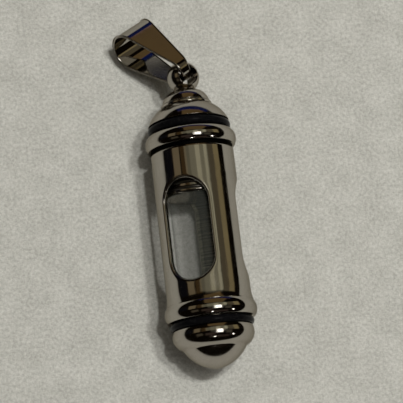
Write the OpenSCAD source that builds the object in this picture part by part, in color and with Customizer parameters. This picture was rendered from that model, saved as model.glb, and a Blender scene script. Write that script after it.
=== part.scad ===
// Windowed capsule pendant with two screw caps and a folded bail, lying on its side.
// Its axis runs along Y with the eye towards +Y. Lengths on the axis are stations,
// counted from a point close below the widest of the upper bead.

/* [Shell] */
// Outer radius of the shell between its beads
shell_r = 5.47; // [5.3:0.01:5.6]
// Wall of the shell
shell_wall = 0.97; // [0.8:0.01:1.0]
// Radius of the two beads, on which the pendant lies
bead_r = 6.0; // [5.8:0.05:6.3]
// Station of the lower bead's widest point
low_bead_at = -22.2; // [-23:0.1:-21]
// Depth of the turned groove below the upper bead
groove_depth = 0.5; // [0.2:0.05:0.6]

/* [Windows] */
// Number of windows round the shell
window_count = 3; // [2:1:3]
// Length of a window along the axis
window_l = 13.05; // [10:0.05:13.5]
// Width of a window
window_w = 5.9; // [4:0.1:6.4]
// Station of a window's middle
window_at = -11.85; // [-12.2:0.05:-11.7]
// Turn of the front window away from straight up, to the left
window_turn = 23.5; // [0:0.5:40]

/* [Glass] */
// Outer radius of the glass tube
glass_r = 4.4; // [4:0.05:4.45]
// Wall of the glass tube
glass_wall = 0.7; // [0.4:0.05:1]

/* [Caps] */
// Radius of both threaded stems, under the thread's ridges
stem_r = 4.2; // [3.9:0.05:4.3]
// Station of the upper stem's end face
upper_stem_end = -7.0; // [-8:0.1:-6]
// Station of the lower stem's end face
lower_stem_end = -18.95; // [-19.2:0.05:-18.9]
// Station of the point of the lower cap
tip_at = -29.5; // [-31:0.1:-28.5]

/* [Eye] */
// Radius of the drilled ball
ball_r = 2.15; // [2:0.05:2.15]
// Radius of the hole through the ball
eye_hole_r = 1.5; // [1.4:0.05:1.55]
// Station of the ball's middle
ball_at = 9.35; // [9.2:0.05:9.5]
// Lean of the hole away from straight up, to the right
eye_lean = 22; // [15:1:25]

/* [Seals] */
// Outer radius of both O-rings
oring_r = 5.45; // [5.3:0.01:5.5]
// Thickness of the upper O-ring
upper_oring_t = 1.15; // [1:0.05:1.15]
// Thickness of the lower O-ring
lower_oring_t = 1.05; // [0.9:0.05:1.1]

/* [Bail] */
// Thickness of the bail's strip
strip_t = 0.4; // [0.3:0.05:0.45]
// Outer radius of the bail's end in the eye
bail_eye_r = 2.1; // [2.05:0.05:2.2]
// Outer radius of the bail's fold
bail_fold_r = 2.85; // [2.8:0.05:3]
// Distance between the middles of the bail's two round ends
bail_l = 6.77; // [6.6:0.01:6.9]
// Width of the strip at its narrow end, inside the eye
bail_eye_w = 1.4; // [1.2:0.05:1.5]
// Width of the strip at the fold
bail_fold_w = 5.1; // [4:0.1:5.2]
// Compass turn of the bail's length from +X
bail_turn = 132.8; // [132.6:0.1:133]
// Downward slope of the bail's length
bail_slope = 23.95; // [23.8:0.05:24.1]
// Roll of the bail about its own length
bail_roll = 20.8; // [20.6:0.1:21]

/* [Hidden] */
$fn = 96;

// the whole pendant is moved so that its outline is centred on the origin
shift_x = 1.377;
shift_y = 5.284;

bore_r = shell_r - shell_wall;
// upper bead: a round of this radius, its middle a little above station 0
upper_bead_arc = 1.45;
upper_bead_at = 0.4;
shell_top = 1.65;
groove_top = -0.5;
groove_low = -0.95;
rim_round = 0.35;
// lower bead and the hollow sweep that leads into it
low_bead_arc = 1.6;
shell_low = low_bead_at - 1.0;
sweep_r = 5;
sweep_from = -19.7;
sweep_l = 1.9;
// where the two beads part from the shell's middle, face to face
upper_cut = groove_top;
lower_cut = low_bead_at + 0.7;
seal_gap = 0.05;
// upper cap: two turned domes with a fine ring between them
cap_low = shell_top + upper_oring_t + 2 * seal_gap;
big_dome_top = 5.15;
big_dome_arc = 4.5;
big_dome_mid = [1.12, 1.36];
ring_low = 5.27;
ring_top = 5.6;
ring_r = 3.36;
groove_floor_r = 3.0;
small_dome_low = 5.72;
small_dome_arc = 2.0;
small_dome_mid = [1.15, 5.5];
neck_r = 1.25;
// lower cap: a bead, a crease and a pointed round end
cap_top = shell_low - lower_oring_t - 2 * seal_gap;
cap_bead_at = cap_top - 0.75;
cap_bead_r = 5.3;
cap_bead_arc = 1.9;
crease_at = cap_bead_at - 1.7;
ogive_arc = 5.3;
ogive_offset = 0.5;
ogive_mid = tip_at + sqrt(ogive_arc * ogive_arc - ogive_offset * ogive_offset);
// from the ball's middle to the middle of the bail's round end in the eye
bail_offset = [-0.78, 1.27, 0.3];

// A region of the half plane from one radius to another between two stations
module band(r0, r1, low, top) {
    translate([r0, low]) square([r1 - r0, top - low]);
}

// A round of radius a about the point p, kept between two stations and clear of the axis
module round_band(a, p, low, top) {
    intersection() {
        translate(p) circle(r = a);
        band(0, bead_r + 1, low, top);
    }
}

// Puts a shape turned about Z into the lying pose
module lying() {
    translate([shift_x, shift_y, bead_r]) rotate([-90, 0, 0]) children();
}

module shell_outline() {
    difference() {
        union() {
            round_band(upper_bead_arc, [bead_r - upper_bead_arc, upper_bead_at], groove_top, shell_top);
            band(0, shell_r - groove_depth, groove_low - 1, groove_top + 1);
            band(0, shell_r - rim_round, groove_low - 1, groove_low);
            translate([shell_r - rim_round, groove_low - rim_round]) circle(r = rim_round);
            band(0, shell_r, shell_low, groove_low - rim_round);
            round_band(low_bead_arc, [bead_r - low_bead_arc, low_bead_at], shell_low, low_bead_at + 1.3);
            difference() {
                band(0, shell_r + 0.37, sweep_from - sweep_l, sweep_from);
                translate([shell_r + sweep_r, sweep_from]) circle(r = sweep_r);
            }
        }
        band(0, bore_r, shell_low - 1, shell_top + 1);
    }
}

module window_cut() {
    straight = window_l - window_w;
    rotate([90, 0, 0]) translate([0, window_at, bore_r / 2]) linear_extrude(height = shell_r) {
        translate([-window_w / 2, -straight / 2]) square([window_w, straight]);
        translate([0, straight / 2]) circle(d = window_w);
        translate([0, -straight / 2]) circle(d = window_w);
    }
}

// The ring of the shell between two stations
module shell_part(low, top) {
    rotate_extrude() intersection() {
        shell_outline();
        band(0, bead_r + 1, low, top);
    }
}

module shell() {
    color("silver") lying() difference() {
        shell_part(lower_cut, upper_cut);
        for (i = [0 : window_count - 1])
            rotate([0, 0, i * 360 / window_count - window_turn]) window_cut();
    }
}

module upper_bead() {
    color("lightgray") lying() shell_part(upper_cut, shell_top);
}

module lower_bead() {
    color("lightgray") lying() shell_part(shell_low, lower_cut);
}

module glass_tube() {
    low = lower_stem_end + seal_gap;
    top = upper_stem_end - seal_gap;
    color("lightcyan", 0.5) lying() rotate_extrude() band(glass_r - glass_wall, glass_r, low, top);
}

module top_cap_outline() {
    band(0, stem_r, upper_stem_end, cap_low + 0.5);
    round_band(big_dome_arc, big_dome_mid, cap_low, big_dome_top);
    band(0, groove_floor_r, cap_low, small_dome_low + 0.3);
    band(0, ring_r, ring_low, ring_top);
    round_band(small_dome_arc, small_dome_mid, small_dome_low, ball_at);
    band(0, small_dome_mid[0], cap_low, small_dome_mid[1] + small_dome_arc);
    band(0, neck_r, cap_low, ball_at - ball_r / 2);
}

module top_cap() {
    color("silver") lying() difference() {
        union() {
            rotate_extrude() top_cap_outline();
            translate([0, 0, ball_at]) sphere(r = ball_r);
        }
        translate([0, 0, ball_at]) rotate([0, 0, eye_lean]) rotate([90, 0, 0])
            cylinder(r = eye_hole_r, h = 4 * ball_r, center = true);
    }
}

// A rubber ring of thickness t about the axis at a station
module oring(t, station) {
    color([0.05, 0.05, 0.05]) lying() translate([0, 0, station]) rotate_extrude()
        translate([oring_r - t / 2, 0]) circle(d = t);
}

module upper_oring() {
    oring(upper_oring_t, shell_top + seal_gap + upper_oring_t / 2);
}

module lower_oring() {
    oring(lower_oring_t, shell_low - seal_gap - lower_oring_t / 2);
}

module bottom_cap_outline() {
    band(0, stem_r, cap_top - 0.5, lower_stem_end);
    round_band(cap_bead_arc, [cap_bead_r - cap_bead_arc, cap_bead_at], crease_at, cap_top);
    band(0, cap_bead_r - cap_bead_arc, crease_at - 0.1, cap_top);
    round_band(ogive_arc, [-ogive_offset, ogive_mid], tip_at, crease_at);
}

module bottom_cap() {
    color("silver") lying() rotate_extrude() bottom_cap_outline();
}

// Side view of a loop round two ends of radius r0 and r1, joined by their tangents
module loop_outline(r0, r1) {
    tilt = asin((r1 - r0) / bail_l);
    steps = 24;
    polygon(concat(
        [for (i = [0 : steps]) let (a = -90 - tilt + (180 + 2 * tilt) * i / steps)
            [bail_l + r1 * cos(a), r1 * sin(a)]],
        [for (i = [0 : steps]) let (a = 90 + tilt + (180 - 2 * tilt) * i / steps)
            [r0 * cos(a), r0 * sin(a)]]));
}

// Plan view of the strip, widening from its end in the eye to the fold
module strip_plan() {
    wide_from = bail_l + 0.6 * bail_fold_r;
    far = bail_l + 2 * bail_fold_r;
    polygon([[-bail_eye_r - 1, -bail_eye_w / 2], [-bail_eye_r, -bail_eye_w / 2],
        [wide_from, -bail_fold_w / 2], [far, -bail_fold_w / 2],
        [far, bail_fold_w / 2], [wide_from, bail_fold_w / 2],
        [-bail_eye_r, bail_eye_w / 2], [-bail_eye_r - 1, bail_eye_w / 2]]);
}

module bail() {
    ball_mid = [shift_x, shift_y + ball_at, bead_r];
    color("gainsboro") translate(ball_mid + bail_offset) rotate([bail_roll, bail_slope, bail_turn])
        intersection() {
            rotate([90, 0, 0]) linear_extrude(height = 2 * bail_fold_w, center = true) difference() {
                loop_outline(bail_eye_r, bail_fold_r);
                loop_outline(bail_eye_r - strip_t, bail_fold_r - strip_t);
            }
            translate([0, 0, -2 * bail_fold_r]) linear_extrude(height = 4 * bail_fold_r) strip_plan();
        }
}

shell();
upper_bead();
lower_bead();
glass_tube();
top_cap();
upper_oring();
lower_oring();
bottom_cap();
bail();
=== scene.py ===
# Capsule urn pendant lying on pale paper: polished steel, a glass tube, two rubber rings and a folded bail
import math

import bmesh
import bpy
from mathutils import Euler, Matrix, Vector


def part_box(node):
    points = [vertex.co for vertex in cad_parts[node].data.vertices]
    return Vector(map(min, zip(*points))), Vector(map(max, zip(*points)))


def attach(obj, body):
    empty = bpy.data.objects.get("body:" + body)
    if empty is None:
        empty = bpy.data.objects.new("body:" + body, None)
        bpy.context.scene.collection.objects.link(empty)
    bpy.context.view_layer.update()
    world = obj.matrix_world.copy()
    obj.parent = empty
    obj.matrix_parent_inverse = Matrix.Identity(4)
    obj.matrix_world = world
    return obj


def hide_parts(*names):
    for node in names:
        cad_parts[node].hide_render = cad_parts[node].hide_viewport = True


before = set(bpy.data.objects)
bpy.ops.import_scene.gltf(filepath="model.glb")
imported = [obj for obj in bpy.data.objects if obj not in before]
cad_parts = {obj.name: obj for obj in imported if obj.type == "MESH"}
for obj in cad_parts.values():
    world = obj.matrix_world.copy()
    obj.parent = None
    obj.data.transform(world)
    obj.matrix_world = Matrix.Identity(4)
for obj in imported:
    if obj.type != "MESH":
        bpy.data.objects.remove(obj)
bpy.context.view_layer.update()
mm = 0.001
print("frame loaded")

# Stations count along the pendant's axis, which runs along Y, from close below the widest of the upper bead
beadLow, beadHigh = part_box("upper_bead")
shellTop = 1.65
shellLow = -23.2
beadR = (beadHigh[2] - beadLow[2]) / 2 / mm
axisX = (beadHigh[0] + beadLow[0]) / 2 / mm
axisY = beadHigh[1] / mm - shellTop
toFrame = Matrix.Translation(Vector((axisX, axisY, beadR)))


# Outlines are lists of (radius, station) in millimetres

def arc(midR, midS, r, fromDeg, toDeg, steps=16):
    turns = [math.radians(fromDeg + (toDeg - fromDeg) * i / steps) for i in range(steps + 1)]
    return [(midR + r * math.cos(a), midS + r * math.sin(a)) for a in turns]


# Rounds the sharp corners of an outline, those that turn by more than cornerDeg
def polished(outline, radius, closed=False, steps=4, cornerDeg=22, mostOfSide=0.45):
    count = len(outline)
    result = []
    for i, corner in enumerate(outline):
        if not closed and i in (0, count - 1):
            result.append(corner)
            continue
        before, after = Vector(outline[i - 1]), Vector(outline[(i + 1) % count])
        here = Vector(corner)
        back, forth = before - here, after - here
        if min(back.length, forth.length) < 1e-6 or (-back).angle(forth) < math.radians(cornerDeg):
            result.append(corner)
            continue
        reach = min(radius, back.length * mostOfSide, forth.length * mostOfSide)
        start, end = here + back.normalized() * reach, here + forth.normalized() * reach
        for k in range(steps + 1):
            t = k / steps
            result.append(tuple(start * (1 - t) ** 2 + here * (2 * t * (1 - t)) + end * t ** 2))
    return result


# Turns an outline about Z into the bmesh, each point moved by place
def addTurned(mesh, outline, place, closed=False, segments=192, startDeg=0.0):
    rings = []
    for radius, station in outline:
        if radius < 1e-5:
            rings.append([mesh.verts.new(place @ Vector((0, 0, station)))])
            continue
        turns = [math.radians(startDeg) + 2 * math.pi * k / segments for k in range(segments)]
        spots = [Vector((radius * math.sin(a), radius * math.cos(a), station)) for a in turns]
        rings.append([mesh.verts.new(place @ spot) for spot in spots])
    pairs = list(zip(rings, rings[1:])) + ([(rings[-1], rings[0])] if closed else [])
    for low, high in pairs:
        for k in range(segments):
            n = (k + 1) % segments
            corners = [low[k % len(low)], low[n % len(low)], high[n % len(high)], high[k % len(high)]]
            unique = list(dict.fromkeys(corners))
            if len(unique) > 2:
                mesh.faces.new(unique)


# A shape turned about Z lies down with its top towards +Y and its angle 0 straight up
layDown = toFrame @ Matrix(((1, 0, 0, 0), (0, 0, 1, 0), (0, 1, 0, 0), (0, 0, 0, 1)))


# Turns a bmesh in millimetres into a piece of the frame
def finishMesh(mesh, name, body, material, replaced=None, sharpDeg=42):
    bmesh.ops.remove_doubles(mesh, verts=mesh.verts, dist=1e-4)
    bmesh.ops.recalc_face_normals(mesh, faces=mesh.faces)
    bmesh.ops.scale(mesh, vec=(mm, mm, mm), verts=mesh.verts)
    data = bpy.data.meshes.new(name)
    mesh.to_mesh(data)
    mesh.free()
    return placePiece(data, name, body, material, replaced, sharpDeg)


def placePiece(data, name, body, material, replaced=None, sharpDeg=42):
    for face in data.polygons:
        face.use_smooth = True
    data.set_sharp_from_angle(angle=math.radians(sharpDeg))
    data.materials.clear()
    data.materials.append(material)
    piece = bpy.data.objects.new(name, data)
    bpy.context.scene.collection.objects.link(piece)
    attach(piece, body)
    if replaced:
        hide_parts(*replaced)
    print("made", name, len(data.polygons), "faces")
    return piece


# Materials

def newMaterial(name):
    material = bpy.data.materials.new(name)
    material.use_nodes = True
    nodes, links = material.node_tree.nodes, material.node_tree.links
    return material, nodes, links, nodes["Principled BSDF"]


def addNoise(nodes, links, coords, scale, detail, stretch=(1, 1, 1), turn=(0, 0, 0)):
    mapping = nodes.new("ShaderNodeMapping")
    mapping.inputs["Scale"].default_value = stretch
    mapping.inputs["Rotation"].default_value = turn
    links.new(coords, mapping.inputs["Vector"])
    noise = nodes.new("ShaderNodeTexNoise")
    noise.inputs["Scale"].default_value = scale
    noise.inputs["Detail"].default_value = detail
    links.new(mapping.outputs["Vector"], noise.inputs["Vector"])
    return noise.outputs["Fac"]


def addRange(nodes, links, value, low, high, toLow, toHigh):
    mapRange = nodes.new("ShaderNodeMapRange")
    for socket, number in zip(("From Min", "From Max", "To Min", "To Max"), (low, high, toLow, toHigh)):
        mapRange.inputs[socket].default_value = number
    links.new(value, mapRange.inputs["Value"])
    return mapRange.outputs["Result"]


def addMath(nodes, links, operation, first, second):
    node = nodes.new("ShaderNodeMath")
    node.operation = operation
    for socket, value in zip(node.inputs, (first, second)):
        if isinstance(value, (int, float)):
            socket.default_value = value
        else:
            links.new(value, socket)
    return node.outputs[0]


# One between low and high, and zero beyond
def addBand(nodes, links, value, low, high, soft):
    rise = addRange(nodes, links, value, low - soft, low, 0, 1)
    fall = addRange(nodes, links, value, high, high + soft, 1, 0)
    return addMath(nodes, links, "MULTIPLY", rise, fall)


def addTint(nodes, links, factor, first, second):
    mix = nodes.new("ShaderNodeMix")
    mix.data_type = "RGBA"
    for socket, value in ((mix.inputs[6], first), (mix.inputs[7], second)):
        if isinstance(value, tuple):
            socket.default_value = (*value, 1)
        else:
            links.new(value, socket)
    links.new(factor, mix.inputs[0])
    return mix.outputs[2]


# How far a point is from the pendant's axis, and its station, in metres
def addAxisPlace(nodes, links, coords):
    parts = nodes.new("ShaderNodeSeparateXYZ")
    links.new(coords, parts.inputs["Vector"])
    across = addMath(nodes, links, "SUBTRACT", parts.outputs["X"], axisX * mm)
    up = addMath(nodes, links, "SUBTRACT", parts.outputs["Z"], beadR * mm)
    squares = [addMath(nodes, links, "MULTIPLY", side, side) for side in (across, up)]
    radius = addMath(nodes, links, "SQRT", addMath(nodes, links, "ADD", *squares), 0.5)
    station = addMath(nodes, links, "SUBTRACT", parts.outputs["Y"], axisY * mm)
    return radius, station


def addBump(nodes, links, height, strength, distance, before=None, invert=False):
    bump = nodes.new("ShaderNodeBump")
    if isinstance(strength, float):
        bump.inputs["Strength"].default_value = strength
    else:
        links.new(strength, bump.inputs["Strength"])
    bump.inputs["Distance"].default_value = distance
    bump.invert = invert
    links.new(height, bump.inputs["Height"])
    if before:
        links.new(before, bump.inputs["Normal"])
    return bump.outputs["Normal"]


# Stretches a noise into marks that run round the axis
roundAxis = (0.02, 1, 0.02)


# Polished steel with turning marks round the axis, smudges and hair scratches; on the shell also painted
# shade in the bore, on the windows' cut walls and in the groove
def steelMaterial(name, values):
    material, nodes, links, shader = newMaterial(name)
    coords = nodes.new("ShaderNodeTexCoord").outputs["Object"]
    shader.inputs["Metallic"].default_value = 1.0
    shader.inputs["Specular Tint"].default_value = (*values["edgeTint"], 1)
    smudges = addNoise(nodes, links, coords, values["smudgeScale"], 3)
    smudged = addRange(nodes, links, smudges, *values["smudgeSpan"], 0, 1)
    tint = addTint(nodes, links, smudged, values["tint"], values["darkTint"])
    gloss = addRange(nodes, links, smudges, *values["glossSpan"], *values["gloss"])
    depth = values["turningDepth"]
    if "boreR" in values:
        radius, station = addAxisPlace(nodes, links, coords)
        # painted shade darkens the bore and the windows' cut walls, which are also dull and show turning
        # lines
        innerR, soft = values["boreR"], values["wallSoft"]
        bore = addRange(nodes, links, radius, innerR * mm, (innerR + soft) * mm, 1, 0)
        low, high = values["cutLow"] * mm, values["cutTop"] * mm
        cutLength = addBand(nodes, links, station, low, high, values["cutSoft"] * mm)
        cutDepth = addRange(nodes, links, radius, (values["cutR"] - soft) * mm, values["cutR"] * mm, 1, 0)
        cut = addMath(nodes, links, "MULTIPLY", cutLength, cutDepth)
        bore = addMath(nodes, links, "MAXIMUM", bore, cut)
        lines = addNoise(nodes, links, coords, values["boreLineScale"], 2, roundAxis)
        lineShare = addRange(nodes, links, lines, *values["lineSpan"], 0, 1)
        boreShadeColour = addTint(nodes, links, lineShare, values["boreShadeTint"], values["boreLineShadeTint"])
        tint = addTint(nodes, links, bore, tint, boreShadeColour)
        boreGloss = addMath(nodes, links, "MULTIPLY", bore, values["boreGloss"])
        gloss = addMath(nodes, links, "MAXIMUM", gloss, boreGloss)
        depth = addRange(nodes, links, bore, 0, 1, depth, values["boreDepth"])
        # painted shade: the groove is tinted nearly black
        low, high = values["grooveLow"] * mm, values["grooveTop"] * mm
        grooveWidth = addBand(nodes, links, station, low, high, values["grooveEdge"] * mm)
        outer = values["grooveR"] * mm
        grooveDepth = addRange(nodes, links, radius, outer - values["grooveSoft"] * mm, outer, 1, 0)
        groove = addMath(nodes, links, "MULTIPLY", grooveWidth, grooveDepth)
        tint = addTint(nodes, links, groove, tint, values["grooveShadeTint"])
        grooveGloss = addMath(nodes, links, "MULTIPLY", groove, values["grooveGloss"])
        gloss = addMath(nodes, links, "MAXIMUM", gloss, grooveGloss)
    links.new(tint, shader.inputs["Base Color"])
    links.new(gloss, shader.inputs["Roughness"])
    turning = addNoise(nodes, links, coords, values["turningScale"], 2, roundAxis)
    scratches = addNoise(nodes, links, coords, values["scratchScale"], 2, (1, 0.05, 1), (0, 0, 0.5))
    hairs = addRange(nodes, links, scratches, *values["hairSpan"], 0, 1)
    turned = addBump(nodes, links, turning, depth, values["turningRise"])
    scratched = addBump(nodes, links, hairs, values["scratchDepth"], values["scratchRise"], turned, True)
    links.new(scratched, shader.inputs["Normal"])
    return material


shellFinish = {
    "tint": (0.44, 0.415, 0.375),
    "darkTint": (0.4, 0.375, 0.335),
    "edgeTint": (0.5, 0.48, 0.44),
    "gloss": (0.07, 0.14),
    "glossSpan": (0.35, 0.7),
    "smudgeScale": 220,
    "smudgeSpan": (0.4, 0.75),
    "turningScale": 9000,
    "turningDepth": 0.05,
    "turningRise": 0.00002,
    "scratchScale": 2500,
    "scratchDepth": 0.12,
    "scratchRise": 0.00001,
    "hairSpan": (0.66, 0.72),
}
capFinish = dict(shellFinish, gloss=(0.08, 0.16), tint=(0.45, 0.42, 0.38))
bailFinish = dict(shellFinish, gloss=(0.05, 0.1), turningDepth=0.02)
# painted shade: the thread ridges sit inside the shell, so their steel is tinted darker; it is also rougher
threadShadeFinish = dict(shellFinish, gloss=(0.25, 0.35), tint=(0.2, 0.19, 0.17), darkTint=(0.14, 0.13, 0.12))


# Clear thin glass: it lets light straight through and mirrors more towards its edges
def glassMaterial(values):
    material, nodes, links, shader = newMaterial("clearGlass")
    coords = nodes.new("ShaderNodeTexCoord").outputs["Object"]
    dust = addNoise(nodes, links, coords, values["dustScale"], 5)
    shader.inputs["Base Color"].default_value = (*values["tint"], 1)
    shader.inputs["IOR"].default_value = values["ior"]
    edge = nodes.new("ShaderNodeLayerWeight")
    edge.inputs["Blend"].default_value = values["edge"]
    cover = addRange(nodes, links, edge.outputs["Facing"], values["edgeFrom"], 1, *values["cover"])
    links.new(cover, shader.inputs["Alpha"])
    gloss = addRange(nodes, links, dust, *values["dustSpan"], *values["gloss"])
    links.new(gloss, shader.inputs["Roughness"])
    return material


glassFinish = {
    "tint": (0.16, 0.17, 0.15),
    "ior": 1.5,
    "edge": 0.3,
    "edgeFrom": 0.2,
    "cover": (0.07, 0.6),
    "gloss": (0.02, 0.1),
    "dustScale": 900,
    "dustSpan": (0.4, 0.8),
}


def rubberMaterial(values):
    material, nodes, links, shader = newMaterial("sealRubber")
    coords = nodes.new("ShaderNodeTexCoord").outputs["Object"]
    grain = addNoise(nodes, links, coords, values["grainScale"], 4)
    greyShare = addRange(nodes, links, grain, *values["greySpan"], 0, 1)
    tone = addTint(nodes, links, greyShare, values["tint"], values["greyTint"])
    links.new(tone, shader.inputs["Base Color"])
    gloss = addRange(nodes, links, grain, *values["glossSpan"], *values["gloss"])
    links.new(gloss, shader.inputs["Roughness"])
    grained = addBump(nodes, links, grain, values["grainDepth"], values["grainRise"])
    links.new(grained, shader.inputs["Normal"])
    shader.inputs["Specular IOR Level"].default_value = values["sheen"]
    return material


rubberFinish = {
    "tint": (0.003, 0.003, 0.0035),
    "greyTint": (0.008, 0.008, 0.008),
    "greySpan": (0.5, 0.8),
    "gloss": (0.16, 0.28),
    "glossSpan": (0.3, 0.7),
    "sheen": 0.04,
    "grainScale": 3000,
    "grainDepth": 0.2,
    "grainRise": 0.00002,
}

# The shell is dull inside, with painted shade darkening its bore and window cut walls and tinting its groove
# nearly black
boreShadeAndFinish = {
    "boreR": 4.62,
    # painted shade: dark tints for the bore and its turning lines
    "boreShadeTint": (0.19, 0.18, 0.135),
    "boreLineShadeTint": (0.055, 0.052, 0.038),
    "boreLineScale": 3600,
    "boreGloss": 0.32,
    "boreDepth": 0.9,
    "wallSoft": 0.15,
    "lineSpan": (0.4, 0.6),
    "cutR": 5.2,
    "cutLow": -18.7,
    "cutTop": -5.0,
    "cutSoft": 0.1,
    "grooveR": 5.45,
    "grooveLow": -1.0,
    "grooveTop": -0.45,
    "grooveEdge": 0.04,
    "grooveSoft": 0.1,
    "grooveShadeTint": (0.008, 0.008, 0.007),
    "grooveGloss": 0.6,
}
shellSteel = steelMaterial("shellSteel", dict(shellFinish, **boreShadeAndFinish))
capSteel = steelMaterial("capSteel", capFinish)
bailSteel = steelMaterial("bailSteel", bailFinish)
shadedThreadSteel = steelMaterial("shadedThreadSteel", threadShadeFinish)
clearGlass = glassMaterial(glassFinish)
sealRubber = rubberMaterial(rubberFinish)
print("materials ready")

# Shell with its beads, groove and windows
shell = {
    "outerR": 5.47,
    "boreR": 4.5,
    "upperBeadArc": 1.45,
    "upperBeadAt": 0.4,
    "grooveTop": -0.5,
    "grooveLow": -0.95,
    "grooveR": 4.8,
    "rimRound": 0.35,
    "lowBeadArc": 1.6,
    "lowBeadAt": -22.2,
    "sweepR": 5.0,
    "sweepFrom": -19.7,
    "sweepStep": 0.06,
    "edgeRound": 0.07,
    "windowCount": 3,
    "windowL": 13.05,
    "windowW": 5.9,
    "windowAt": -11.85,
    "windowTurn": 23.5,
    "windowRound": 0.5,
    "windowInnerRound": 0.12,
    "bandTop": -4.6,
    "bandLow": -19.4,
    "topSteps": 64,
    "sideSteps": 5,
    "straightSteps": 26,
    "spreadRings": 9,
}


# The shell's outline above the windows' band, and the one below it
def shellOutlines():
    s = shell
    beadMid = beadR - s["upperBeadArc"]
    upperTurn = math.degrees(math.asin((shellTop - s["upperBeadAt"]) / s["upperBeadArc"]))
    grooveTurn = math.degrees(math.asin((s["grooveTop"] - s["upperBeadAt"]) / s["upperBeadArc"]))
    rimMid = s["outerR"] - s["rimRound"]
    above = [(s["boreR"], s["bandTop"]), (s["boreR"], shellTop)]
    above += arc(beadMid, s["upperBeadAt"], s["upperBeadArc"], upperTurn, grooveTurn, 40)
    above += [(s["grooveR"], s["grooveTop"]), (s["grooveR"], s["grooveLow"])]
    above += arc(rimMid, s["grooveLow"] - s["rimRound"], s["rimRound"], 90, 0, 10)
    above += [(s["outerR"], s["bandTop"])]
    lowMid = beadR - s["lowBeadArc"]
    # the hollow sweep runs from the shell's side until it meets the bead
    sweep = []
    for i in range(25):
        station = s["sweepFrom"] - i * s["sweepStep"]
        radius = s["outerR"] + s["sweepR"] - math.sqrt(s["sweepR"] ** 2 - (station - s["sweepFrom"]) ** 2)
        depth = station - s["lowBeadAt"]
        inBead = s["lowBeadArc"] ** 2 - depth ** 2
        bead = lowMid + math.sqrt(inBead) if inBead > 0 else 0
        if bead > radius:
            break
        sweep.append((radius, station))
    joinAt = sweep[-1][1] - s["sweepStep"]
    joinTurn = math.degrees(math.asin((joinAt - s["lowBeadAt"]) / s["lowBeadArc"]))
    lowTurn = math.degrees(math.asin((shellLow - s["lowBeadAt"]) / s["lowBeadArc"]))
    below = [(s["outerR"], s["bandLow"])] + sweep
    below += arc(lowMid, s["lowBeadAt"], s["lowBeadArc"], joinTurn, lowTurn, 28)
    below += [(s["boreR"], shellLow), (s["boreR"], s["bandLow"])]
    return polished(above, s["edgeRound"]), polished(below, s["edgeRound"])


# Points round one window's sector: its border, the window's edge and the direction outwards
def windowLoop():
    s = shell
    halfTurn = math.pi / s["windowCount"]
    straight = (s["windowL"] - s["windowW"]) / 2
    highEnd, lowEnd = s["windowAt"] + straight, s["windowAt"] - straight
    half = s["windowW"] / 2
    points = []
    for end, border, sign in ((highEnd, s["bandTop"], 1), (lowEnd, s["bandLow"], -1)):
        side = [(halfTurn, end + (border - end) * i / s["sideSteps"]) for i in range(s["sideSteps"])]
        top = [(halfTurn - 2 * halfTurn * i / s["topSteps"], border) for i in range(s["topSteps"] + 1)]
        otherSide = [(-a, y) for a, y in reversed(side)]
        targets = side + top + otherSide
        if sign < 0:
            targets = [(-a, y) for a, y in targets]
        for angle, station in targets:
            direction = Vector((angle * s["outerR"], station - end)).normalized()
            points.append(((angle, station), (half * direction.x, end + half * direction.y), direction))
        start, finish = (highEnd, lowEnd) if sign > 0 else (lowEnd, highEnd)
        for i in range(1, s["straightSteps"]):
            station = start + (finish - start) * i / s["straightSteps"]
            points.append(((-sign * halfTurn, station), (-sign * half, station), Vector((-sign, 0))))
    return points


def onTube(radius, across, station):
    return Vector((across, math.sqrt(radius ** 2 - across ** 2), station))


def blendCorner(start, corner, end, steps):
    for k in range(steps + 1):
        t = k / steps
        yield start * (1 - t) ** 2 + corner * (2 * t * (1 - t)) + end * t ** 2


# Columns of points in the window's own turn, from the outer border over the edge to the inner border
def windowRings():
    s = shell
    columns = []
    for (angle, station), (across, edgeStation), outward in windowLoop():
        column = []
        corner = onTube(s["outerR"], across, edgeStation)
        outerStep, innerStep = outward * s["windowRound"], outward * s["windowInnerRound"]
        outerStart = onTube(s["outerR"], across + outerStep.x, edgeStation + outerStep.y)
        innerCorner = onTube(s["boreR"], across, edgeStation)
        innerEnd = onTube(s["boreR"], across + innerStep.x, edgeStation + innerStep.y)
        outerAngle, innerAngle = math.asin(outerStart.x / s["outerR"]), math.asin(innerEnd.x / s["boreR"])
        for k in range(s["spreadRings"]):
            t = k / s["spreadRings"]
            a = angle + (outerAngle - angle) * t
            y = station + (outerStart.z - station) * t
            column.append(Vector((s["outerR"] * math.sin(a), s["outerR"] * math.cos(a), y)))
        column += blendCorner(outerStart, corner, corner - Vector((0, s["windowRound"], 0)), 7)
        column += blendCorner(innerCorner + Vector((0, s["windowInnerRound"], 0)), innerCorner, innerEnd, 4)
        for k in range(1, s["spreadRings"] + 1):
            t = k / s["spreadRings"]
            a = innerAngle + (angle - innerAngle) * t
            y = innerEnd.z + (station - innerEnd.z) * t
            column.append(Vector((s["boreR"] * math.sin(a), s["boreR"] * math.cos(a), y)))
        columns.append(column)
    return columns


def buildShell():
    s = shell
    mesh = bmesh.new()
    segments = s["topSteps"] * s["windowCount"]
    startDeg = -s["windowTurn"] + 180 / s["windowCount"]
    for outline in shellOutlines():
        addTurned(mesh, outline, layDown, segments=segments, startDeg=startDeg)
    columns = windowRings()
    for i in range(s["windowCount"]):
        turn = math.radians(360 / s["windowCount"] * i - s["windowTurn"])
        spin = layDown @ Matrix.Rotation(-turn, 4, "Z")
        made = [[mesh.verts.new(spin @ point) for point in column] for column in columns]
        for k, column in enumerate(made):
            after = made[(k + 1) % len(made)]
            for j in range(len(column) - 1):
                mesh.faces.new((column[j], after[j], after[j + 1], column[j + 1]))
    return finishMesh(mesh, "windowShell", "shell_body", shellSteel,
                      ["shell", "upper_bead", "lower_bead"])


buildShell()

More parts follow.
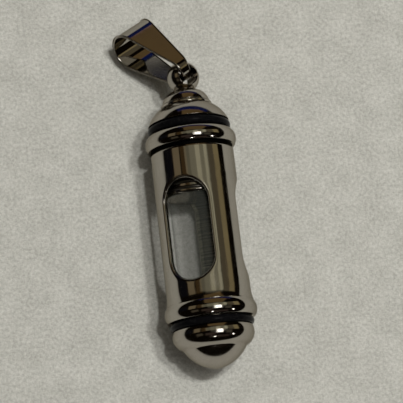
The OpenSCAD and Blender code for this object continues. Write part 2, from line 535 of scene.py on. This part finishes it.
# Caps
topCap = {
    "stemR": 4.2,
    "stemBevel": 0.25,
    "stemEnd": -7.0,
    "domeLow": 2.9,
    "domeArc": 4.5,
    "domeMid": (1.12, 1.36),
    "domeTop": 5.15,
    "grooveFloorR": 3.0,
    "ringLow": 5.27,
    "ringTop": 5.6,
    "ringR": 3.36,
    "smallDomeLow": 5.72,
    "smallDomeArc": 2.0,
    "smallDomeMid": (1.15, 5.5),
    "smallDomeShare": 0.985,
    "neckR": 1.25,
    "neckRise": 0.03,
    "neckTop": 7.66,
    "ballAt": 9.35,
    "ballR": 2.15,
    "holeR": 1.5,
    "holeInset": 0.12,
    "mouthRound": 0.3,
    "eyeLean": 22,
    "edgeRound": 0.09,
}
bottomCap = {
    "stemR": 4.2,
    "stemBevel": 0.25,
    "stemEnd": -18.95,
    "capTop": -24.35,
    "beadAt": -25.1,
    "beadR": 5.3,
    "beadArc": 1.9,
    "creaseAt": -26.8,
    "creaseR": 4.2,
    "creaseRound": 0.11,
    "ogiveArc": 5.3,
    "ogiveOffset": 0.5,
    "tipAt": -29.5,
    "tipStop": 0.002,
    "tipR": 0.02,
    "edgeRound": 0.09,
}


def domeArc(mid, r, fromStation, toStation, steps):
    start = math.degrees(math.asin((fromStation - mid[1]) / r))
    end = math.degrees(math.asin(max(-1, min(1, (toStation - mid[1]) / r))))
    return arc(mid[0], mid[1], r, start, end, steps)


# A stem's half outline, from the middle of its end face to where its head begins
def stemOutline(c, into, head):
    r, end, bevel = c["stemR"], c["stemEnd"], c["stemBevel"]
    return [(0, end), (r - bevel, end), (r, end + into * bevel), (r, head)]


def buildTopCap():
    c = topCap
    outline = stemOutline(c, 1, c["domeLow"])
    outline += domeArc(c["domeMid"], c["domeArc"], c["domeLow"], c["domeTop"], 24)
    floorR, ringR = c["grooveFloorR"], c["ringR"]
    outline += [(floorR, c["domeTop"]), (floorR, c["ringLow"]), (ringR, c["ringLow"])]
    outline += [(ringR, c["ringTop"]), (floorR, c["ringTop"]), (floorR, c["smallDomeLow"])]
    smallTop = c["smallDomeMid"][1] + c["smallDomeArc"] * c["smallDomeShare"]
    outline += domeArc(c["smallDomeMid"], c["smallDomeArc"], c["smallDomeLow"], smallTop, 20)
    neckLow = smallTop + c["neckRise"]
    outline += [(c["neckR"], neckLow), (c["neckR"], c["neckTop"]), (0, c["neckTop"])]
    mesh = bmesh.new()
    addTurned(mesh, polished(outline, c["edgeRound"]), layDown)
    # the drilled ball is turned about its own hole
    holeR = c["holeR"] - c["holeInset"]
    mouth = math.degrees(math.acos(holeR / c["ballR"]))
    eye = arc(0, 0, c["ballR"], mouth, -mouth, 40)
    lean = Matrix.Rotation(math.radians(c["eyeLean"]), 4, "Y")
    place = toFrame @ Matrix.Translation((0, c["ballAt"], 0)) @ lean
    ring = polished([(holeR, 0.0)] + eye[::-1], c["mouthRound"], closed=True, steps=8)
    addTurned(mesh, ring, place, closed=True, segments=128)
    return finishMesh(mesh, "domeCap", "upper_cap", capSteel, ["top_cap"])


def buildBottomCap():
    c = bottomCap
    ogiveMid = c["tipAt"] + math.sqrt(c["ogiveArc"] ** 2 - c["ogiveOffset"] ** 2)
    beadMid = (c["beadR"] - c["beadArc"], c["beadAt"])
    outline = stemOutline(c, -1, c["capTop"])
    bead = domeArc(beadMid, c["beadArc"], c["capTop"], c["creaseAt"] + c["creaseRound"], 28)
    ogiveTop = c["creaseAt"] - c["creaseRound"]
    ogiveEnd = c["tipAt"] + c["tipStop"]
    ogive = domeArc((-c["ogiveOffset"], ogiveMid), c["ogiveArc"], ogiveTop, ogiveEnd, 48)
    crease = blendCorner(Vector(bead[-1]), Vector((c["creaseR"], c["creaseAt"])), Vector(ogive[0]), 10)
    outline += bead[:-1] + [tuple(point) for point in crease]
    outline += [point for point in ogive[1:] if point[0] > c["tipR"]] + [(0, c["tipAt"])]
    mesh = bmesh.new()
    addTurned(mesh, polished(outline, c["edgeRound"]), layDown)
    return finishMesh(mesh, "pointedCap", "lower_cap", capSteel, ["bottom_cap"])


buildTopCap()
buildBottomCap()

# Glass tube
glassTube = {"outerR": 4.4, "wall": 0.7, "top": -7.05, "low": -18.9, "edgeRound": 0.15}


def buildGlass():
    g = glassTube
    innerR = g["outerR"] - g["wall"]
    outline = [(innerR, g["low"]), (g["outerR"], g["low"]), (g["outerR"], g["top"]), (innerR, g["top"])]
    mesh = bmesh.new()
    addTurned(mesh, polished(outline, g["edgeRound"], closed=True), layDown, closed=True)
    return finishMesh(mesh, "glassTube", "shell_body", clearGlass, ["glass_tube"])


buildGlass()


# Geometry Nodes: a round wire swept along a ring or a helix, for the rubber rings and the thread ridges
wireInputs = (
    ("Radius", "NodeSocketFloat", 5.0),
    ("Wire", "NodeSocketFloat", 0.5),
    ("Turns", "NodeSocketFloat", 1.0),
    ("Height", "NodeSocketFloat", 0.0),
    ("Steps", "NodeSocketInt", 128),
    ("Sides", "NodeSocketInt", 24),
    ("Helix", "NodeSocketBool", False),
    ("Finish", "NodeSocketMaterial", None),
)


def sweepTree():
    tree = bpy.data.node_groups.new("sweptWire", "GeometryNodeTree")
    for name, kind, value in wireInputs:
        socket = tree.interface.new_socket(name=name, in_out="INPUT", socket_type=kind)
        if value is not None:
            socket.default_value = value
    tree.interface.new_socket(name="Geometry", in_out="OUTPUT", socket_type="NodeSocketGeometry")
    nodes = tree.nodes
    given = nodes.new("NodeGroupInput")
    ring = nodes.new("GeometryNodeCurvePrimitiveCircle")
    helix = nodes.new("GeometryNodeCurveSpiral")
    wire = nodes.new("GeometryNodeCurvePrimitiveCircle")
    choose = nodes.new("GeometryNodeSwitch")
    choose.input_type = "GEOMETRY"
    sweep = nodes.new("GeometryNodeCurveToMesh")
    sweep.inputs["Fill Caps"].default_value = True
    smooth = nodes.new("GeometryNodeSetShadeSmooth")
    realize = nodes.new("GeometryNodeRealizeInstances")
    paint = nodes.new("GeometryNodeSetMaterial")
    result = nodes.new("NodeGroupOutput")
    for start, output, end, socket in (
            (given, "Radius", ring, "Radius"),
            (given, "Steps", ring, "Resolution"),
            (given, "Radius", helix, "Start Radius"),
            (given, "Radius", helix, "End Radius"),
            (given, "Turns", helix, "Rotations"),
            (given, "Height", helix, "Height"),
            (given, "Steps", helix, "Resolution"),
            (given, "Wire", wire, "Radius"),
            (given, "Sides", wire, "Resolution"),
            (given, "Helix", choose, "Switch"),
            (ring, "Curve", choose, "False"),
            (helix, "Curve", choose, "True"),
            (choose, "Output", sweep, "Curve"),
            (wire, "Curve", sweep, "Profile Curve"),
            (sweep, "Mesh", smooth, "Geometry"),
            (smooth, "Geometry", realize, "Geometry"),
            (realize, "Geometry", paint, "Geometry"),
            (given, "Finish", paint, "Material"),
            (paint, "Geometry", result, "Geometry")):
        tree.links.new(start.outputs[output], end.inputs[socket])
    return tree


wireTree = sweepTree()


def sweptPiece(name, station, body, slot, material, replaced=None, **inputs):
    host = bpy.data.objects.new(name + "Host", bpy.data.meshes.new(name + "Host"))
    bpy.context.scene.collection.objects.link(host)
    modifier = host.modifiers.new("sweptWire", "NODES")
    modifier.node_group = wireTree
    inputs["Finish"] = material
    for item in wireTree.interface.items_tree:
        if item.in_out == "INPUT" and item.name in inputs:
            modifier[item.identifier] = inputs[item.name]
    graph = bpy.context.evaluated_depsgraph_get()
    data = bpy.data.meshes.new_from_object(host.evaluated_get(graph))
    host.modifiers.remove(modifier)
    bpy.data.objects.remove(host)
    data.name = name
    place = toFrame @ Matrix.Translation((0, station, 0)) @ Matrix.Rotation(math.radians(-90), 4, "X")
    data.transform(Matrix.Scale(mm, 4) @ place)
    mesh = bmesh.new()
    mesh.from_mesh(data)
    bmesh.ops.recalc_face_normals(mesh, faces=mesh.faces)
    mesh.to_mesh(data)
    mesh.free()
    return placePiece(data, name, body, material, replaced, 60)


# Rubber rings, with a little air to the rims on both sides
seals = {
    "upperSeal": {"thick": 1.15, "rim": shellTop, "side": 1, "body": "upper_seal", "node": "upper_oring"},
    "lowerSeal": {"thick": 1.05, "rim": shellLow, "side": -1, "body": "lower_seal", "node": "lower_oring"},
}
sealR = 5.45
sealGap = 0.05
for sealName, seal in seals.items():
    half = seal["thick"] / 2
    station = seal["rim"] + seal["side"] * (sealGap + half)
    sweptPiece(sealName, station, seal["body"], "seal_rubber", sealRubber, [seal["node"]],
               Radius=sealR - half, Wire=half, Steps=192, Sides=40, Helix=False)

# Thread ridges on both stems, right-handed
thread = {"pitch": 0.75, "ridgeR": 0.24, "midR": 4.19, "bareEnd": 0.45, "upperTop": 1.4, "lowerHead": 1.9}
ridges = (
    ("upperThread", "upper_cap", topCap["stemEnd"] + thread["bareEnd"], thread["upperTop"]),
    ("lowerThread", "lower_cap", bottomCap["capTop"] + thread["lowerHead"],
     bottomCap["stemEnd"] - thread["bareEnd"]),
)
for threadName, body, low, high in ridges:
    sweptPiece(threadName, low, body, "cap_steel", shadedThreadSteel, None,
               Radius=thread["midR"], Wire=thread["ridgeR"], Turns=(high - low) / thread["pitch"],
               Height=high - low, Steps=96, Sides=12, Helix=True)

# Bail: a folded strip whose narrow end runs through the eye
bail = {
    "thickness": 0.4,
    "eyeR": 2.1,
    "foldR": 2.85,
    "length": 6.77,
    "eyeWidth": 1.4,
    "foldWidth": 5.1,
    "wideShare": 0.6,
    "edgeRound": 0.13,
    "cornerSteps": 4,
    "turn": 132.8,
    "slope": 23.95,
    "roll": 20.8,
    "offset": (-0.78, 1.27, 0.3),
    "bendSteps": 40,
    "leafSteps": 12,
}


def buildBail():
    b = bail
    half = b["thickness"] / 2
    r0, r1 = b["eyeR"] - half, b["foldR"] - half
    tilt = math.degrees(math.asin((r1 - r0) / b["length"]))

    def bend(mid, r, fromDeg, toDeg):
        steps = b["bendSteps"]
        turns = [math.radians(fromDeg + (toDeg - fromDeg) * i / steps) for i in range(steps + 1)]
        return [(mid + r * math.cos(a), r * math.sin(a), a) for a in turns]

    def leaf(start, end):
        across, up = end[0] - start[0], end[1] - start[1]
        spots = [i / b["leafSteps"] for i in range(1, b["leafSteps"])]
        return [(start[0] + across * t, start[1] + up * t, start[2]) for t in spots]

    fold = bend(b["length"], r1, -90 - tilt, 90 + tilt)
    eye = bend(0, r0, 90 + tilt, 270 - tilt)
    path = fold + leaf(fold[-1], eye[0]) + eye + leaf(eye[-1], fold[0])
    wideFrom = b["length"] + b["wideShare"] * b["foldR"]
    place = (Matrix.Translation(Vector((axisX, axisY + topCap["ballAt"], beadR)) + Vector(b["offset"]))
             @ Euler([math.radians(b[k]) for k in ("roll", "slope", "turn")]).to_matrix().to_4x4())
    mesh = bmesh.new()
    rings = []
    section = [(-half, -1), (half, -1), (half, 1), (-half, 1)]
    for u, n, a in path:
        ring = []
        for k, (out, side) in enumerate(section):
            for step in range(b["cornerSteps"] + 1):
                # The quarter rounds run against the outline's order, which thins the strip between its edges
                t = math.radians(90 / b["cornerSteps"] * step)
                across, along = (math.cos(t), math.sin(t)) if k in (1, 3) else (math.sin(t), math.cos(t))
                o = out - math.copysign(b["edgeRound"] * (1 - across), out)
                w = b["edgeRound"] * (1 - along)
                spotU = u + o * math.cos(a)
                share = min(max((spotU + b["eyeR"]) / (wideFrom + b["eyeR"]), 0), 1)
                halfWidth = (b["eyeWidth"] + (b["foldWidth"] - b["eyeWidth"]) * share) / 2
                spot = Vector((spotU, side * (halfWidth - w), n + o * math.sin(a)))
                ring.append(mesh.verts.new(place @ spot))
        rings.append(ring)
    for i, ring in enumerate(rings):
        after = rings[(i + 1) % len(rings)]
        for k in range(len(ring)):
            m = (k + 1) % len(ring)
            mesh.faces.new((ring[k], ring[m], after[m], after[k]))
    return finishMesh(mesh, "foldedBail", "bail_loop", bailSteel, ["bail"], 50)


buildBail()
print("pendant done")

# Paper that the pendant lies on
paper = {
    "size": 2.4,
    "tone": (0.56, 0.557, 0.515),
    "darkTone": (0.35, 0.347, 0.315),
    "mottleScale": 300,
    "fibreScale": 2300,
    "grainScale": 6000,
    "shares": (0.35, 0.7, 0.6),
    "paleSpan": (0.62, 1.03),
    "rough": 0.9,
    "sheen": 0.1,
    "depth": 0.5,
    "rise": 0.0003,
}


def paperMaterial():
    material, nodes, links, shader = newMaterial("palePaper")
    coords = nodes.new("ShaderNodeTexCoord").outputs["Object"]
    mottle = addNoise(nodes, links, coords, paper["mottleScale"], 5)
    fibre = addNoise(nodes, links, coords, paper["fibreScale"], 4)
    grain = addNoise(nodes, links, coords, paper["grainScale"], 2)
    parts = zip((mottle, fibre, grain), paper["shares"])
    shares = [addMath(nodes, links, "MULTIPLY", *part) for part in parts]
    mixed = addMath(nodes, links, "ADD", addMath(nodes, links, "ADD", shares[0], shares[1]), shares[2])
    paleShare = addRange(nodes, links, mixed, *paper["paleSpan"], 0, 1)
    tone = addTint(nodes, links, paleShare, paper["darkTone"], paper["tone"])
    links.new(tone, shader.inputs["Base Color"])
    shader.inputs["Roughness"].default_value = paper["rough"]
    shader.inputs["Specular IOR Level"].default_value = paper["sheen"]
    rough = addBump(nodes, links, fibre, paper["depth"], paper["rise"])
    links.new(rough, shader.inputs["Normal"])
    return material


floorData = bpy.data.meshes.new("paperSheet")
reach = paper["size"] / 2
corners = [(x * reach, y * reach, 0) for x, y in ((-1, -1), (1, -1), (1, 1), (-1, 1))]
floorData.from_pydata(corners, [], [(0, 1, 2, 3)])
floorData.materials.append(paperMaterial())
floorSheet = bpy.data.objects.new("paperSheet", floorData)
bpy.context.scene.collection.objects.link(floorSheet)

# Studio light: soft cards overhead whose edges draw the bands in the steel, and small lamps for the glints.
# Turn is measured about the pendant's axis from straight up, positive to the right.
cards = {
    "middle": {"turn": 7, "tip": 11.5, "distance": 0.7, "width": 0.83, "length": 0.3, "glow": 0.15,
               "tint": (1.0, 0.94, 0.66)},
    "middleLong": {"turn": 12, "tip": 8, "distance": 0.72, "width": 0.6, "length": 0.56, "glow": 0.07,
                   "tint": (1.0, 0.957, 0.72)},
    "middlePale": {"turn": 11, "tip": 11.5, "distance": 0.68, "width": 0.14, "length": 0.26, "glow": 0.2,
                   "tint": (1.0, 0.957, 0.7)},
    "middleEdge": {"turn": 33, "tip": 11.5, "distance": 0.68, "width": 0.11, "length": 0.26, "glow": 0.22,
                   "tint": (1.0, 0.97, 0.72)},
    "leftDim": {"turn": -28, "tip": 11.5, "distance": 0.72, "width": 0.2, "length": 0.34, "glow": 0.055,
                "tint": (1.0, 0.62, 0.25)},
    "leftBrown": {"turn": -49, "tip": 11.5, "distance": 0.75, "width": 0.25, "length": 0.34, "glow": 0.19,
                  "tint": (1.0, 0.8, 0.5)},
    "leftNavy": {"turn": -73, "tip": 11.5, "distance": 0.75, "width": 0.3, "length": 0.34, "glow": 0.006,
                 "tint": (0.3, 0.5, 1.0)},
    "rightDim": {"turn": 48, "tip": 11.5, "distance": 0.74, "width": 0.22, "length": 0.34, "glow": 0.1,
                 "tint": (1.0, 0.85, 0.55)},
    "rightBrown": {"turn": 64, "tip": 11.5, "distance": 0.75, "width": 0.2, "length": 0.34, "glow": 0.26,
                   "tint": (1.0, 0.82, 0.44)},
    "nearLeft": {"turn": -44, "tip": -22, "distance": 0.7, "width": 0.22, "length": 0.2, "glow": 0.07,
                 "tint": (1.0, 0.86, 0.62)},
    "nearMiddle": {"turn": -12, "tip": -27, "distance": 0.7, "width": 0.34, "length": 0.22, "glow": 0.045,
                   "tint": (1.0, 0.72, 0.6)},
    "nearRight": {"turn": 42, "tip": -16, "distance": 0.7, "width": 0.2, "length": 0.24, "glow": 0.07,
                  "tint": (1.0, 0.9, 0.7)},
    "nearLow": {"turn": 16, "tip": -48, "distance": 0.72, "width": 0.62, "length": 0.2, "glow": 0.035,
                "tint": (1.0, 0.72, 0.62)},
    "farBrown": {"swing": 10, "tip": 52.3, "distance": 0.8, "width": 0.62, "length": 0.62, "glow": 0.13,
                 "tint": (1.0, 0.67, 0.3)},
    "farPink": {"swing": 10, "tip": 74.0, "distance": 0.8, "width": 0.8, "length": 0.01, "glow": 0.3,
                "tint": (1.0, 0.6, 0.5)},
    "farNavy": {"swing": 10, "tip": 81.6, "distance": 0.8, "width": 0.8, "length": 0.205, "glow": 0.075,
                "tint": (0.03, 0.14, 1.0)},
}
lamps = {
    "main": {"turn": 15, "tip": -9, "distance": 0.6, "width": 0.2, "length": 0.27, "glow": 1.6},
    "core": {"turn": 16, "tip": -8, "distance": 0.58, "width": 0.12, "length": 0.16, "glow": 5.5},
    "side": {"turn": 60, "tip": -34, "distance": 0.6, "width": 0.035, "length": 0.035, "glow": 18},
    "near": {"turn": 2, "tip": -50, "distance": 0.6, "width": 0.035, "length": 0.035, "glow": 12},
}
lampTint = (1, 0.98, 0.95)
# These light the paper only, since a polished thing would mirror them
floorLights = {
    "first": {"turn": 8, "tip": 4, "distance": 0.8, "width": 0.04, "length": 0.04, "power": 2.15},
    "second": {"turn": 17, "tip": 4, "distance": 0.8, "width": 0.05, "length": 0.05, "power": 2.15},
    "above": {"turn": -5, "tip": 20, "distance": 0.9, "width": 1.2, "length": 1.2, "power": 1.3},
}
floorTint = (1.0, 0.995, 0.98)


def addLight(name, values, tint):
    light = bpy.data.lights.new(name, "AREA")
    light.shape = "RECTANGLE"
    light.size, light.size_y = values["width"], values["length"]
    # a card's glow is its brightness as a mirror shows it
    if "glow" in values:
        light.energy = values["glow"] * math.pi * values["width"] * values["length"]
    else:
        light.energy = values["power"]
    light.color = tint
    lamp = bpy.data.objects.new(name, light)
    bpy.context.scene.collection.objects.link(lamp)
    swing, turn, tip = (math.radians(values.get(key, 0)) for key in ("swing", "turn", "tip"))
    spin = Matrix.Rotation(-swing, 4, "Z") @ Matrix.Rotation(turn, 4, "Y") @ Matrix.Rotation(-tip, 4, "X")
    lamp.matrix_world = spin @ Matrix.Translation((0, 0, values["distance"]))
    return lamp


for name, values in cards.items():
    addLight(name + "Card", values, values["tint"])
for name, values in lamps.items():
    addLight(name + "Card", values, lampTint)
for name, values in floorLights.items():
    addLight(name + "Soft", values, floorTint).visible_glossy = False

roomTone = (0.004, 0.0025, 0.0012)
world = bpy.data.worlds.new("room")
world.use_nodes = True
background = world.node_tree.nodes["Background"]
background.inputs["Color"].default_value = (*roomTone, 1)
background.inputs["Strength"].default_value = 1.0
bpy.context.scene.world = world
bpy.context.scene.view_settings.view_transform = "Standard"
print("lights set")

# Camera over the pendant, a little from its pointed end; its place counts from the axis and station 0
view = {
    "place": (-16.39, -55.91, 221.01),
    "tilt": 13.4,
    "heading": 19.26,
    "roll": 12.93,
    "focal": 1700.0,
    "frame": 403.0,
    "sensor": 36,
    "clip": (0.005, 10),
}


def buildCamera():
    tilt, heading, roll = (math.radians(view[k]) for k in ("tilt", "heading", "roll"))
    slant = math.sin(tilt)
    ahead = Vector((slant * math.sin(heading), slant * math.cos(heading), -math.cos(tilt)))
    right = Vector((math.cos(heading), -math.sin(heading), 0))
    up = right.cross(ahead)
    turnedRight = right * math.cos(roll) + up * math.sin(roll)
    turnedUp = up * math.cos(roll) - right * math.sin(roll)
    data = bpy.data.cameras.new("view")
    data.sensor_width = view["sensor"]
    data.lens = view["focal"] / view["frame"] * data.sensor_width
    data.clip_start, data.clip_end = view["clip"]
    camera = bpy.data.objects.new("view", data)
    bpy.context.scene.collection.objects.link(camera)
    place = Matrix((turnedRight, turnedUp, -ahead)).transposed().to_4x4()
    place.translation = Vector((axisX + view["place"][0], axisY + view["place"][1], view["place"][2])) * mm
    camera.matrix_world = place
    bpy.context.scene.camera = camera


buildCamera()
print("camera set")
